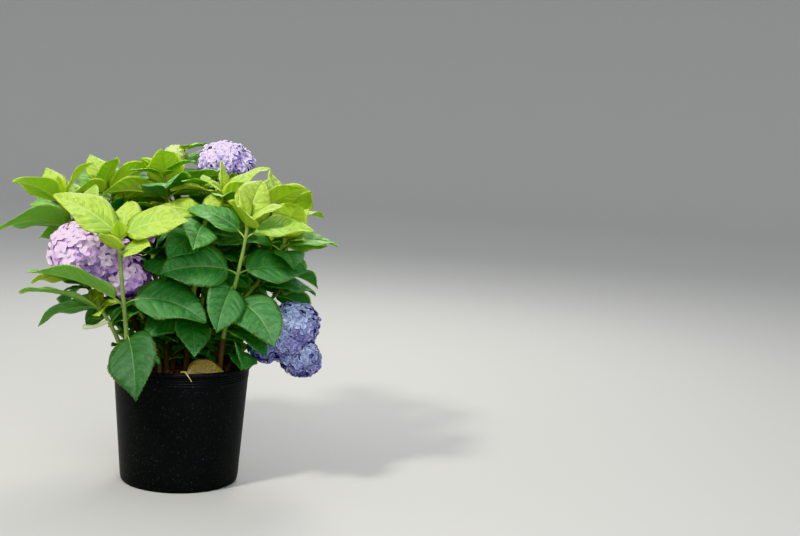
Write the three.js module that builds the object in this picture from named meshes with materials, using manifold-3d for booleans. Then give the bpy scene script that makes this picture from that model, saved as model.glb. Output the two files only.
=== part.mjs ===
// Hydrangea shrub in its nursery pot. Woody canes rise from the soil, and each carries one leafy or
// flowering shoot: a stem with opposite pairs of leaves that ends in a rosette of young leaves or a bloom.
// Units are millimetres, +Z is up, and the origin is the middle of the pot's flat underside.
// Seen from the front, which is the side of -Y, +X is to the right.
import * as THREE from 'three';
import Module from 'manifold-3d';
import { mergeVertices } from 'three/addons/utils/BufferGeometryUtils.js';

const wasm = await Module();
wasm.setup();

// Gap between pieces that touch
const GAP = 0.3;

// Pot: a moulded nursery pot, 280 across its lip and 242 high
const POT_HEIGHT = 242;
const LIP_RADIUS = 140;
const LIP_WIDTH = 5;
const LIP_HEIGHT = 9;
const LIP_DRAFT = 1;
const LIP_ROUND = 1.5;
const FOOT_RADIUS = 117;
const FOOT_ROUND = 7;
const POT_WALL = 2.6;
const POT_FLOOR = 3;
const TURNED_SIDES = 40;

// Soil: bark mix up to 27 below the lip, sloping down at its edge
const SOIL_TOP = POT_HEIGHT - 27;
const SOIL_EDGE_WIDTH = 9;
const SOIL_EDGE_DROP = 5;

// Limbs: the radius at the soil and at the head of a shoot
const CANE_RADIUS = 5.4;
const HEAD_RADIUS = 3.2;
const LIMB_SIDES = 5;
const LIMB_STEP = 55;

// How far a limb keeps its direction at both ends, and how much further it first goes straight up, as
// shares of its length
const HANDLE = 0.36;
const HANDLE_LIFT = 0.043;

// Leaves: sizes are fractions of the blade's length, angles are degrees
const HALF_WIDTH = 0.37;
const THICKNESS = 0.016;
const THINNEST = 1.7;
const PETIOLE = 0.16;
const PETIOLE_HALF = 1.9;
const STATIONS = [0.19, 0.48, 0.78];
const FOLD = 14;
const BANK = 42;
const SWELL = 1.1;

// Outline of a blade: broadest below its middle, round at the base and narrowing to a short tip
const BROADEST = 0.74;
const ROUNDNESS = 0.78;
const NARROWING = 0.22;

// A stalk leaves its stem steeper than the blade that it carries, up to a limit
const STALK_STEEPER = 34;
const STALK_STEEPEST = 72;

// Chance: how far lengths, folds and the headings of leaves in pairs and rosettes vary
const LENGTH_SPREAD = 0.16;
const FOLD_SPREAD = 10;
const PAIR_SPREAD = 24;
const ROSETTE_SPREAD = 14;

// Pitch of a leaf in a pair at its base and at its tip: at a shoot's foot, and how much more at its head
const PAIR_PITCH = [4, 16];
const PAIR_DROOP = [-56, 32];

// A leaf that would touch something is tried again, a little turned, tilted and smaller each time
const TRIES = 26;
const TRY_TURN = 3.2;
const TRY_TILT = 26;
const TRY_RHYTHM = 2.1;
const TRY_SHRINK = 0.018;

// Young leaves in a rosette, from the outer pair in: length, pitch at the base, pitch at the tip. The
// innermost pair stands just below the head, and the others a step apart below it.
const ROSETTE = [[1, 20, -22], [0.96, 46, 8], [0.6, 64, 30]];
const ROSETTE_TOP = 4;
const ROSETTE_STEP = 13;

// Shoots, front ones first. foot is where the cane leaves the soil, head is where the stem ends, and
// start is the share of the way at which the woody cane ends and the leafy stem begins. lean is the
// head's tilt from upright. pairs are the shares of the way at which leaves stand in opposite pairs,
// each pair turned a quarter from the last, the lowest at the azimuth turn. leaves are single ones:
// share of the way, azimuth, length, pitch at the base, pitch at the tip, and roll where it is its own.
// A rosette, a bloom or single young leaves end the shoot: rosette is the outer leaves' length, its
// outer pair turned on from the last pair, and bloom lists lobes by centre from the head and radius.
const SHOOTS = [
  { foot: [-104, -66], head: [-120, -150, 500], start: 0.1, lean: 4,
    leaves: [[0.29, -78, 146, -18, -80], [0.4, 52, 92, 4, -44], [0.53, -13, 150, 12, -42],
      [0.5, 184, 172, 32, 0, 20],
      [0.985, 176, 132, 44, 14], [0.985, -10, 124, 34, -8], [0.945, 84, 110, 50, 20],
      [0.9, 236, 70, 44, 20], [0.9, -46, 76, 26, 0], [0.985, 262, 46, 66, 40]] },
  { foot: [74, -58], head: [118, -104, 532], start: 0.24, lean: 8, turn: -14, rosette: 116,
    leaves: [[0.67, 200, 144, 14, -20, -50], [0.67, 22, 134, 10, -16], [0.6, 250, 118, -22, -62],
      [0.48, -50, 136, -4, -66, 24], [0.5, 126, 116, 20, -30], [0.28, -30, 96, -4, -56]] },
  { foot: [8, -40], head: [38, -72, 548], start: 0.16, lean: 6, turn: 70, rosette: 106,
    leaves: [[0.86, 212, 98, -24, -74], [0.86, 40, 104, 24, -18], [0.36, 204, 96, -8, -54],
      [0.33, -84, 100, -12, -66], [0.5, 150, 120, 12, -34]] },
  { foot: [-44, -30], head: [-150, -22, 428], start: 0.5, lean: 40,
    bloom: [[-48, 0, 34, 62], [36, 2, -19, 47], [-4, 4, 14, 56]],
    leaves: [[0.68, 12, 106, 20, -20], [0.62, 150, 110, -6, -44], [0.56, 96, 112, 10, -30]] },
  { foot: [88, -26], head: [200, -8, 306], start: 0.3, lean: 84,
    bloom: [[20, 4, 12, 51], [-2, -6, -18, 44], [36, 0, -56, 41], [-38, -14, -34, 30]],
    leaves: [[0.52, 104, 112, 22, -20], [0.36, -24, 100, -14, -66], [0.42, -84, 100, -10, -60]] },
  { foot: [-112, -30], head: [-168, -62, 368], start: 0.16, lean: 34, turn: 90, rosette: 58,
    leaves: [[0.74, 181, 158, 32, -10, 10], [0.66, 8, 92, 30, 0], [0.3, 20, 112, 4, -46]] },
  { foot: [62, 8], head: [200, -22, 498], start: 0.36, lean: 24, turn: -70, rosette: 108, leafLength: 138,
    pairs: [0.42, 0.6, 0.78] },
  { foot: [-74, 22], head: [-252, 66, 548], start: 0.36, lean: 24, turn: 35, rosette: 112, leafLength: 146,
    pairs: [0.42, 0.62, 0.82] },
  { foot: [-18, 12], head: [-40, 78, 584], start: 0.36, lean: 8, turn: -2, rosette: 118, leafLength: 146,
    pairs: [0.41, 0.58, 0.74, 0.9] },
  { foot: [-30, -6], head: [-70, 46, 488], start: 0.36, lean: 10, turn: -50, leafLength: 112,
    bloom: [[0, 0, 8, 34]], pairs: [0.42, 0.62, 0.82] },
  { foot: [26, 4], head: [74, 18, 578], start: 0.34, lean: 8, turn: -70, rosette: 112, leafLength: 136,
    pairs: [0.4, 0.56, 0.7, 0.86] },
  { foot: [14, 38], head: [79, 160, 622], start: 0.38, lean: 12, turn: -80, leafLength: 148,
    bloom: [[-14, 0, 2, 42], [16, 2, 0, 42], [0, -6, 8, 44]], pairs: [0.43, 0.6, 0.76, 0.92] },
  { foot: [-42, 50], head: [-168, 126, 568], start: 0.36, lean: 20, turn: 30, rosette: 124, leafLength: 146,
    pairs: [0.42, 0.62, 0.82] },
  { foot: [-6, 66], head: [-24, 206, 632], start: 0.38, lean: 10, turn: -10, leafLength: 142,
    bloom: [[0, 0, 4, 24]], pairs: [0.43, 0.6, 0.76, 0.93] },
  { foot: [46, 44], head: [158, 62, 548], start: 0.34, lean: 18, turn: -20, rosette: 114, leafLength: 142,
    pairs: [0.4, 0.58, 0.8] },
  { foot: [72, 66], head: [206, 150, 528], start: 0.32, lean: 26, turn: -60, rosette: 112, leafLength: 146,
    pairs: [0.37, 0.56, 0.78] },
  { foot: [-76, 66], head: [-214, 196, 520], start: 0.32, lean: 28, turn: 50, rosette: 112, leafLength: 146,
    pairs: [0.37, 0.56, 0.78] },
  { foot: [-26, 92], head: [-88, 244, 470], start: 0.3, lean: 34, turn: -70, leafLength: 142,
    bloom: [[-6, 14, 14, 56], [22, 18, -10, 42]], pairs: [0.35, 0.56, 0.8] },
  { foot: [34, 90], head: [92, 250, 528], start: 0.3, lean: 24, turn: -40, rosette: 112, leafLength: 146,
    pairs: [0.35, 0.54, 0.78] },
  { foot: [100, 36], head: [214, 84, 396], start: 0.26, lean: 44, turn: 60, rosette: 92, leafLength: 142,
    pairs: [0.5, 0.78] },
  { foot: [-100, 44], head: [-222, 92, 404], start: 0.26, lean: 42, turn: 30, rosette: 94, leafLength: 142,
    pairs: [0.54, 0.8] },
  { foot: [12, 112], head: [20, 240, 390], start: 0.26, lean: 46, turn: 10, rosette: 92, leafLength: 142,
    pairs: [0.5, 0.78] },
];

// Blooms: how lumpy the heads are, and how flat
const LUMP = 0.1;
const BLOOM_FLAT = 0.88;
const BLOOM_DETAIL = 2;

// The spent leaf that has dropped on the soil inside the lip
const FALLEN = { at: [-2, -96], azimuth: 13, length: 84, rise: 0, pitch: 0, droop: -14, roll: 50, fold: 8 };

// Each shoot's leaves and each bloom draw from a seed of their own
const SHOOT_SEED = 20417;
const BLOOM_SEED = 70001;
const SEED_STEP = 7919;

const COLOURS = {
  pot: [0x16181a, 0.55],
  soil: [0x2a1c13, 1],
  cane: [0x6f5334, 0.85],
  foliage: [0x4f8a3a, 0.6],
  flowering: [0x7b86a8, 0.7],
  spent: [0x8a7a3c, 0.8],
};

const shrub = new THREE.Group();
const up = new THREE.Vector3(0, 0, 1);
const radians = THREE.MathUtils.degToRad;

// Seeded draws from 0 to 1
function drawFrom(seed) {
  let state = seed;
  return () => {
    state = (state * 16807) % 2147483647;
    return state / 2147483647;
  };
}

// A closed mesh from corners and triangles, turned so that its faces point out
function closed(corners, triangles) {
  let volume = 0;
  for (const [a, b, c] of triangles) {
    volume += corners[a].dot(corners[b].clone().cross(corners[c]));
  }
  const vertProperties = new Float32Array(corners.flatMap((corner) => corner.toArray()));
  const order = volume < 0 ? triangles.flatMap(([a, b, c]) => [a, c, b]) : triangles.flat();
  return new wasm.Manifold(new wasm.Mesh({ numProp: 3, vertProperties, triVerts: new Uint32Array(order) }));
}

// The same from a geometry of three.js, with its corners merged
function solid(geometry, reshape = (corner) => corner) {
  geometry.deleteAttribute('normal');
  geometry.deleteAttribute('uv');
  const merged = mergeVertices(geometry, 1e-3);
  const position = merged.getAttribute('position');
  const corners = [];
  for (let i = 0; i < position.count; i += 1) {
    corners.push(reshape(new THREE.Vector3().fromBufferAttribute(position, i)));
  }
  const index = merged.getIndex().array;
  const triangles = [];
  for (let i = 0; i < index.length; i += 3) {
    const [a, b, c] = [index[i], index[i + 1], index[i + 2]];
    if (a !== b && b !== c && c !== a) triangles.push([a, b, c]);
  }
  return closed(corners, triangles);
}

// A skin over rings of corners that run the same way round, closed by a flat end or by a tip
function loft(rings, tip) {
  const sides = rings[0].length;
  const corners = rings.flat();
  const triangles = [];
  for (let j = 1; j < sides - 1; j += 1) triangles.push([0, j + 1, j]);
  for (let i = 0; i < rings.length - 1; i += 1) {
    for (let j = 0; j < sides; j += 1) {
      const next = (j + 1) % sides;
      const [a, b] = [i * sides + j, i * sides + next];
      triangles.push([a, b, b + sides], [a, b + sides, a + sides]);
    }
  }
  const last = (rings.length - 1) * sides;
  if (tip) {
    corners.push(tip);
    for (let j = 0; j < sides; j += 1) {
      triangles.push([last + j, last + ((j + 1) % sides), corners.length - 1]);
    }
  } else {
    for (let j = 1; j < sides - 1; j += 1) triangles.push([last, last + j, last + j + 1]);
  }
  return closed(corners, triangles);
}

function addNode(name, body, look) {
  const { numProp, vertProperties, triVerts } = body.getMesh();
  const position = new Float32Array((vertProperties.length / numProp) * 3);
  for (let i = 0; i < position.length / 3; i += 1) {
    for (let k = 0; k < 3; k += 1) position[3 * i + k] = vertProperties[numProp * i + k];
  }
  const geometry = new THREE.BufferGeometry();
  geometry.setAttribute('position', new THREE.BufferAttribute(position, 3));
  geometry.setIndex([...triVerts]);
  geometry.computeVertexNormals();
  const [color, roughness] = COLOURS[look];
  const node = new THREE.Mesh(geometry, new THREE.MeshStandardMaterial({ color, roughness, metalness: 0 }));
  node.name = name;
  shrub.add(node);
}

// Pot and soil

function innerRadius(z) {
  const outer = FOOT_RADIUS + ((LIP_RADIUS - LIP_WIDTH - FOOT_RADIUS) * z) / POT_HEIGHT;
  return outer - POT_WALL;
}

function turned(profile, sides) {
  const geometry = new THREE.LatheGeometry(profile.map(([r, z]) => new THREE.Vector2(r, z)), sides);
  return solid(geometry.rotateX(Math.PI / 2));
}

function pot() {
  const lipFoot = POT_HEIGHT - LIP_HEIGHT;
  const bend = FOOT_ROUND * (1 - Math.SQRT1_2);
  return turned([
    [0, 0],
    [FOOT_RADIUS - FOOT_ROUND, 0],
    [FOOT_RADIUS - bend, bend],
    [FOOT_RADIUS, FOOT_ROUND],
    [innerRadius(lipFoot) + POT_WALL, lipFoot],
    [LIP_RADIUS - LIP_DRAFT, lipFoot],
    [LIP_RADIUS, POT_HEIGHT - LIP_ROUND],
    [LIP_RADIUS - LIP_ROUND, POT_HEIGHT],
    [innerRadius(POT_HEIGHT), POT_HEIGHT],
    [innerRadius(POT_FLOOR), POT_FLOOR],
    [0, POT_FLOOR],
  ], TURNED_SIDES);
}

function soil() {
  const bottom = POT_FLOOR + GAP;
  return turned([
    [0, bottom],
    [innerRadius(bottom) - GAP, bottom],
    [innerRadius(SOIL_TOP - SOIL_EDGE_DROP) - GAP, SOIL_TOP - SOIL_EDGE_DROP],
    [innerRadius(SOIL_TOP) - SOIL_EDGE_WIDTH, SOIL_TOP],
    [0, SOIL_TOP],
  ], TURNED_SIDES);
}

// Limbs

function path(shoot) {
  const foot = new THREE.Vector3(...shoot.foot, SOIL_TOP + GAP);
  const head = new THREE.Vector3(...shoot.head);
  const out = new THREE.Vector3(head.x - foot.x, head.y - foot.y, 0).normalize();
  const lean = radians(shoot.lean);
  const aim = out.multiplyScalar(Math.sin(lean)).addScaledVector(up, Math.cos(lean));
  const far = foot.distanceTo(head);
  const rise = foot.clone().addScaledVector(up, HANDLE * (head.z - foot.z) + HANDLE_LIFT * far);
  return new THREE.CubicBezierCurve3(foot, rise, head.clone().addScaledVector(aim, -HANDLE * far), head);
}

function limbRadius(share) {
  return CANE_RADIUS + (HEAD_RADIUS - CANE_RADIUS) * share;
}

// A tapering limb along a curve between two shares of its way, its first face moved on by setOff
function limb(curve, from, to, setOff = 0) {
  const steps = Math.max(2, Math.round(((to - from) * curve.getLength()) / LIMB_STEP));
  const rings = [];
  for (let i = 0; i <= steps; i += 1) {
    const share = from + ((to - from) * i) / steps;
    const ahead = curve.getTangent(share);
    const centre = curve.getPoint(share).addScaledVector(ahead, i === 0 ? setOff : 0);
    const side = new THREE.Vector3(0, 1, 0).cross(ahead).normalize();
    const other = ahead.clone().cross(side);
    const ring = [];
    for (let j = 0; j < LIMB_SIDES; j += 1) {
      const angle = (2 * Math.PI * j) / LIMB_SIDES;
      const radius = limbRadius(share);
      ring.push(centre.clone()
        .addScaledVector(side, radius * Math.cos(angle))
        .addScaledVector(other, radius * Math.sin(angle)));
    }
    rings.push(ring);
  }
  return loft(rings);
}

// Leaves

// Reach outwards and upwards after a distance along an arc whose pitch goes from one angle to another.
// A straight one is bent by a hundredth of a degree, so that it has a radius.
function arc(from, to, length, distance) {
  const bend = radians(to - from || 0.01) / length;
  const start = radians(from);
  const angle = start + bend * distance;
  const out = (Math.sin(angle) - Math.sin(start)) / bend;
  const rise = (Math.cos(start) - Math.cos(angle)) / bend;
  return { out, rise, angle };
}

// Half the blade's width at a share of its length, as a share of its greatest half width
function outline(share) {
  return Math.sin(Math.PI * share ** BROADEST) ** ROUNDNESS * (1 - NARROWING * share ** 2);
}

// The midrib's point and the leaf's own axes at a distance from its root
function midrib(leaf, distance) {
  const petiole = PETIOLE * leaf.length;
  const stalk = arc(leaf.rise, leaf.pitch, petiole, Math.min(distance, petiole));
  const blade = arc(leaf.pitch, leaf.droop, leaf.length, Math.max(distance - petiole, 0));
  const angle = distance > petiole ? blade.angle : stalk.angle;
  const heading = radians(leaf.azimuth);
  const out = new THREE.Vector3(Math.cos(heading), Math.sin(heading), 0);
  const point = leaf.root.clone().addScaledVector(out, stalk.out + blade.out);
  point.z += stalk.rise + blade.rise;
  const left = new THREE.Vector3(-Math.sin(heading), Math.cos(heading), 0);
  const face = out.multiplyScalar(-Math.sin(angle)).addScaledVector(up, Math.cos(angle));
  const roll = radians(leaf.roll);
  return {
    point,
    left: left.clone().multiplyScalar(Math.cos(roll)).addScaledVector(face, Math.sin(roll)),
    face: face.multiplyScalar(Math.cos(roll)).addScaledVector(left, -Math.sin(roll)),
  };
}

// One closed leaf: a four-sided stalk that widens into a thin blade folded along its midrib
function leafSolid(leaf, swell = 0, bladeOnly = false) {
  const petiole = PETIOLE * leaf.length;
  const thick = Math.max(THINNEST, THICKNESS * leaf.length) / 2 + swell;
  const fold = radians(leaf.fold);
  const ring = (distance, half, raised, depth) => {
    const { point, left, face } = midrib(leaf, distance);
    const side = (reach) => point.clone().addScaledVector(left, reach).addScaledVector(face, raised);
    const middle = (reach) => point.clone().addScaledVector(face, reach);
    return [side(half), middle(depth), side(-half), middle(-depth)];
  };
  const stalk = PETIOLE_HALF + swell;
  const rings = bladeOnly ? [] : [ring(0, stalk, 0, stalk)];
  rings.push(ring(petiole, stalk, 0, stalk));
  for (const share of STATIONS) {
    const half = HALF_WIDTH * leaf.length * outline(share) + swell;
    rings.push(ring(petiole + share * leaf.length, half * Math.cos(fold), half * Math.sin(fold), thick));
  }
  return loft(rings, midrib(leaf, petiole + leaf.length + swell).point);
}

// Every leaf that a shoot would bear, before any is found to touch
function leavesOf(shoot, curve, seed) {
  const draw = drawFrom(seed);
  const leaves = [];
  const grow = (share, azimuth, length, pitch, droop, spread, roll) => {
    const root = curve.getPoint(share);
    const heading = azimuth + spread * (draw() - 0.5);
    const outward = THREE.MathUtils.radToDeg(Math.atan2(root.y, root.x));
    leaves.push({
      root,
      azimuth: heading,
      length: length * (1 + LENGTH_SPREAD * (draw() - 0.5) * Math.sign(spread)),
      rise: Math.min(STALK_STEEPEST, pitch + STALK_STEEPER),
      pitch: pitch + 0.5 * spread * (draw() - 0.5),
      droop: droop + spread * (draw() - 0.5),
      roll: roll ?? -BANK * Math.sin(radians(outward - heading)),
      fold: FOLD + FOLD_SPREAD * (draw() - 0.5),
    });
  };
  for (const [share, azimuth, length, pitch, droop, roll] of shoot.leaves ?? []) {
    grow(share, azimuth, length, pitch, droop, 0, roll);
  }
  const pairs = shoot.pairs ?? [];
  pairs.forEach((share, i) => {
    const pitch = PAIR_PITCH[0] + PAIR_PITCH[1] * share;
    const droop = PAIR_DROOP[0] + PAIR_DROOP[1] * share;
    for (const half of [0, 180]) {
      grow(share, shoot.turn + 90 * i + half, shoot.leafLength, pitch, droop, PAIR_SPREAD);
    }
  });
  if (shoot.rosette) {
    const stretch = curve.getLength();
    ROSETTE.forEach(([size, pitch, droop], i) => {
      const share = 1 - ((ROSETTE.length - 1 - i) * ROSETTE_STEP + ROSETTE_TOP) / stretch;
      for (const half of [0, 180]) {
        const heading = shoot.turn + 90 * (pairs.length + i) + half;
        grow(share, heading, shoot.rosette * size, pitch, droop, ROSETTE_SPREAD);
      }
    });
  }
  return leaves;
}

// The fallen leaf comes to rest with its lowest edge on the soil
function fallenLeaf() {
  const leaf = leafSolid({ ...FALLEN, root: new THREE.Vector3(...FALLEN.at, 0) });
  return leaf.translate([0, 0, SOIL_TOP + GAP - leaf.boundingBox().min[2]]);
}

// The same leaf as it is tried the next time
function retried(leaf, again) {
  const tilt = TRY_TILT * Math.sin(TRY_RHYTHM * again);
  return {
    ...leaf,
    azimuth: leaf.azimuth + TRY_TURN * again * (-1) ** again,
    pitch: leaf.pitch + tilt,
    droop: leaf.droop + tilt,
    length: leaf.length * (1 - TRY_SHRINK * again),
  };
}

// Blooms

function bloomSolid(shoot, seed) {
  const draw = drawFrom(seed);
  const lobes = shoot.bloom.map(([x, y, z, radius]) => {
    const centre = new THREE.Vector3(...shoot.head).add(new THREE.Vector3(x, y, z));
    return solid(new THREE.IcosahedronGeometry(radius, BLOOM_DETAIL), (corner) => {
      corner.multiplyScalar(1 + LUMP * (draw() - 0.5));
      corner.z *= BLOOM_FLAT;
      return corner.add(centre);
    });
  });
  return lobes.reduce((head, lobe) => head.add(lobe));
}

// Assembly

function near(a, b) {
  const [first, second] = [a.boundingBox(), b.boundingBox()];
  return [0, 1, 2].every((k) => first.min[k] < second.max[k] && second.min[k] < first.max[k]);
}

function touches(a, b) {
  if (!near(a, b)) return false;
  const shared = a.intersect(b);
  const hit = !shared.isEmpty();
  shared.delete();
  return hit;
}

const label = (i) => String(i + 1).padStart(2, '0');

const fixed = [pot(), soil(), fallenLeaf()];
addNode('pot', fixed[0], 'pot');
addNode('soil', fixed[1], 'soil');
addNode('fallen_leaf', fixed[2], 'spent');

const masses = SHOOTS.map((shoot, i) => {
  const curve = path(shoot);
  const cane = limb(curve, 0, shoot.start);
  addNode(`cane_${label(i)}`, cane, 'cane');
  fixed.push(cane);
  const stem = limb(curve, shoot.start, 1, GAP);
  const blooms = shoot.bloom ? [bloomSolid(shoot, BLOOM_SEED + SEED_STEP * i)] : [];
  return { shoot, curve, stem, blooms, leaves: [], blades: [] };
});

for (const [i, mass] of masses.entries()) {
  const others = masses.filter((other) => other !== mass);
  for (const grown of leavesOf(mass.shoot, mass.curve, SHOOT_SEED + SEED_STEP * i)) {
    for (let again = 0; again < TRIES; again += 1) {
      const leaf = retried(grown, again);
      const wide = leafSolid(leaf, SWELL);
      const blade = leafSolid(leaf, SWELL / 2, true);
      const foreign = others.flatMap((other) => [other.stem, ...other.leaves, ...other.blooms]);
      const blocked = [...fixed, ...foreign].some((body) => touches(wide, body))
        || [...mass.blooms, ...mass.blades, mass.stem].some((body) => touches(blade, body));
      if (!blocked) {
        mass.leaves.push(leafSolid(leaf));
        mass.blades.push(leafSolid(leaf, 0, true));
        break;
      }
    }
  }
}

masses.forEach((mass, i) => {
  const body = [...mass.blooms, ...mass.leaves].reduce((joined, piece) => joined.add(piece), mass.stem);
  addNode(`foliage_${label(i)}`, body, mass.blooms.length ? 'flowering' : 'foliage');
});

export default shrub;
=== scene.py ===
"""Dresses the potted hydrangea: pot, bark mix, canes, leafy shoots and mophead blooms.

The shoots grow by the same rule and from the same named sizes as the part's own source, in millimetres,
and are carried on to toothed and veined leaves, buds and single florets. Meshes are made in metres.
"""
import math

import bpy
import numpy as np
from mathutils import Matrix, Vector
from mathutils.bvhtree import BVHTree


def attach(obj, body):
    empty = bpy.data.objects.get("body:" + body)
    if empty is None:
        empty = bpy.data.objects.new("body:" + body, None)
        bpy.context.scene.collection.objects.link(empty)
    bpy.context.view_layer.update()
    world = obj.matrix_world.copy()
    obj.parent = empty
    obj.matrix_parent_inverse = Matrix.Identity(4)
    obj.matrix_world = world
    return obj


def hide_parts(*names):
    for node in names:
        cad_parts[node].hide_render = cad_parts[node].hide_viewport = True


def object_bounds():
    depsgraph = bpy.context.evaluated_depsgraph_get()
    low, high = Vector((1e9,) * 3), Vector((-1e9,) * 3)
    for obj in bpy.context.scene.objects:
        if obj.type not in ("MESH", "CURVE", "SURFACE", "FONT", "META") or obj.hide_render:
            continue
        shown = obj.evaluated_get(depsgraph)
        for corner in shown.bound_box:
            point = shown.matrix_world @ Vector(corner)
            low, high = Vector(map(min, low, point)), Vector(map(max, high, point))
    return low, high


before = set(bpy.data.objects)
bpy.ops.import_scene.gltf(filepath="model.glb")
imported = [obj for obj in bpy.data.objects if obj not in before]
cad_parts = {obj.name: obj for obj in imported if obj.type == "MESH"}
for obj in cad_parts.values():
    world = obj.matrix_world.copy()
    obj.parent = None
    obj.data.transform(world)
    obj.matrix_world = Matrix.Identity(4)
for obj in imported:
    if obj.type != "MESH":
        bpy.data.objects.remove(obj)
cad_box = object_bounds()

MM = 0.001
GAP = 0.3

# Pot and soil, as in the part
POT_HEIGHT = 242
LIP_RADIUS = 140
LIP_WIDTH = 5
LIP_HEIGHT = 9
FOOT_RADIUS = 117
FOOT_ROUND = 7
POT_WALL = 2.6
POT_FLOOR = 3
SOIL_TOP = POT_HEIGHT - 27

# Limbs and leaves, as in the part
CANE_RADIUS = 5.4
HEAD_RADIUS = 3.2
HANDLE = 0.36
HANDLE_LIFT = 0.043
HALF_WIDTH = 0.37
PETIOLE = 0.16
FOLD = 14
BANK = 42
BROADEST = 0.74
NARROWING = 0.22
STALK_STEEPER = 34
STALK_STEEPEST = 72
LENGTH_SPREAD = 0.16
FOLD_SPREAD = 10
PAIR_SPREAD = 24
ROSETTE_SPREAD = 14
PAIR_PITCH = (4, 16)
PAIR_DROOP = (-56, 32)
TRIES = 26
TRY_TURN = 3.2
TRY_TILT = 26
TRY_RHYTHM = 2.1
TRY_SHRINK = 0.018
ROSETTE = ((1, 20, -22), (0.96, 46, 8), (0.6, 64, 30))
ROSETTE_TOP = 4
ROSETTE_STEP = 13
BLOOM_FLAT = 0.88
SHOOT_SEED = 20417
SEED_STEP = 7919
FALLEN = dict(at=(-2, -96), azimuth=13, length=84, rise=0, pitch=0, droop=-14, roll=50, fold=8)

# The shoots at the front, as in the part: foot, head, start of the leafy stem, lean, turn, rosette or bloom,
# then leaves (share of the way, azimuth, length, pitch at the base, at the tip, roll)
SHOOTS = [
    dict(foot=(-104, -66), head=(-120, -150, 500), start=0.1, lean=4,
         leaves=((0.29, -78, 146, -18, -80), (0.4, 52, 92, 4, -44), (0.53, -13, 150, 12, -42),
         (0.5, 184, 172, 32, 0, 20),
         (0.985, 176, 132, 44, 14), (0.985, -10, 124, 34, -8), (0.945, 84, 110, 50, 20),
         (0.9, 236, 70, 44, 20), (0.9, -46, 76, 26, 0), (0.985, 262, 46, 66, 40))),
    dict(foot=(74, -58), head=(118, -104, 532), start=0.24, lean=8, turn=-14, rosette=116,
         leaves=((0.67, 200, 144, 14, -20, -50), (0.67, 22, 134, 10, -16), (0.6, 250, 118, -22, -62),
         (0.48, -50, 136, -4, -66, 24), (0.5, 126, 116, 20, -30), (0.28, -30, 96, -4, -56))),
    dict(foot=(8, -40), head=(38, -72, 548), start=0.16, lean=6, turn=70, rosette=106,
         leaves=((0.86, 212, 98, -24, -74), (0.86, 40, 104, 24, -18), (0.36, 204, 96, -8, -54),
         (0.33, -84, 100, -12, -66), (0.5, 150, 120, 12, -34))),
    dict(foot=(-44, -30), head=(-150, -22, 428), start=0.5, lean=40,
         bloom=((-48, 0, 34, 62), (36, 2, -19, 47), (-4, 4, 14, 56)),
         leaves=((0.68, 12, 106, 20, -20), (0.62, 150, 110, -6, -44), (0.56, 96, 112, 10, -30))),
    dict(foot=(88, -26), head=(200, -8, 306), start=0.3, lean=84,
         bloom=((20, 4, 12, 51), (-2, -6, -18, 44), (36, 0, -56, 41), (-38, -14, -34, 30)),
         leaves=((0.52, 104, 112, 22, -20), (0.36, -24, 100, -14, -66), (0.42, -84, 100, -10, -60))),
    dict(foot=(-112, -30), head=(-168, -62, 368), start=0.16, lean=34, turn=90, rosette=58,
         leaves=((0.74, 181, 158, 32, -10, 10), (0.66, 8, 92, 30, 0), (0.3, 20, 112, 4, -46))),
]

# Those that fill the crown: foot, head, start, lean, turn, rosette or bloom, leaf length and pairs' shares
FILLING = [
    ((62, 8), (200, -22, 498), 0.36, 24, -70, 108, 138, (0.42, 0.6, 0.78)),
    ((-74, 22), (-252, 66, 548), 0.36, 24, 35, 112, 146, (0.42, 0.62, 0.82)),
    ((-18, 12), (-40, 78, 584), 0.36, 8, -2, 118, 146, (0.41, 0.58, 0.74, 0.9)),
    ((-30, -6), (-70, 46, 488), 0.36, 10, -50, ((0, 0, 8, 34),), 112, (0.42, 0.62, 0.82)),
    ((26, 4), (74, 18, 578), 0.34, 8, -70, 112, 136, (0.4, 0.56, 0.7, 0.86)),
    ((14, 38), (79, 160, 622), 0.38, 12, -80, ((-14, 0, 2, 42), (16, 2, 0, 42), (0, -6, 8, 44)), 148,
     (0.43, 0.6, 0.76, 0.92)),
    ((-42, 50), (-168, 126, 568), 0.36, 20, 30, 124, 146, (0.42, 0.62, 0.82)),
    ((-6, 66), (-24, 206, 632), 0.38, 10, -10, ((0, 0, 4, 24),), 142, (0.43, 0.6, 0.76, 0.93)),
    ((46, 44), (158, 62, 548), 0.34, 18, -20, 114, 142, (0.4, 0.58, 0.8)),
    ((72, 66), (206, 150, 528), 0.32, 26, -60, 112, 146, (0.37, 0.56, 0.78)),
    ((-76, 66), (-214, 196, 520), 0.32, 28, 50, 112, 146, (0.37, 0.56, 0.78)),
    ((-26, 92), (-88, 244, 470), 0.3, 34, -70, ((-6, 14, 14, 56), (22, 18, -10, 42)), 142, (0.35, 0.56, 0.8)),
    ((34, 90), (92, 250, 528), 0.3, 24, -40, 112, 146, (0.35, 0.54, 0.78)),
    ((100, 36), (214, 84, 396), 0.26, 44, 60, 92, 142, (0.5, 0.78)),
    ((-100, 44), (-222, 92, 404), 0.26, 42, 30, 94, 142, (0.54, 0.8)),
    ((12, 112), (20, 240, 390), 0.26, 46, 10, 92, 142, (0.5, 0.78)),
]
for foot, head, start, lean, turn, end, leaf_length, pairs in FILLING:
    SHOOTS.append(dict(foot=foot, head=head, start=start, lean=lean, turn=turn, leaf_length=leaf_length,
                       pairs=pairs, **{"rosette" if isinstance(end, int) else "bloom": end}))

# Blades bulge past the part's straight edges: the outline is a sine to a power that goes from the blade's to
# the tip's, the later the higher the onset
BLADE_ROUNDNESS = 0.64
TIP_ROUNDNESS = 1.1
TIP_ONSET = 4
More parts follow.
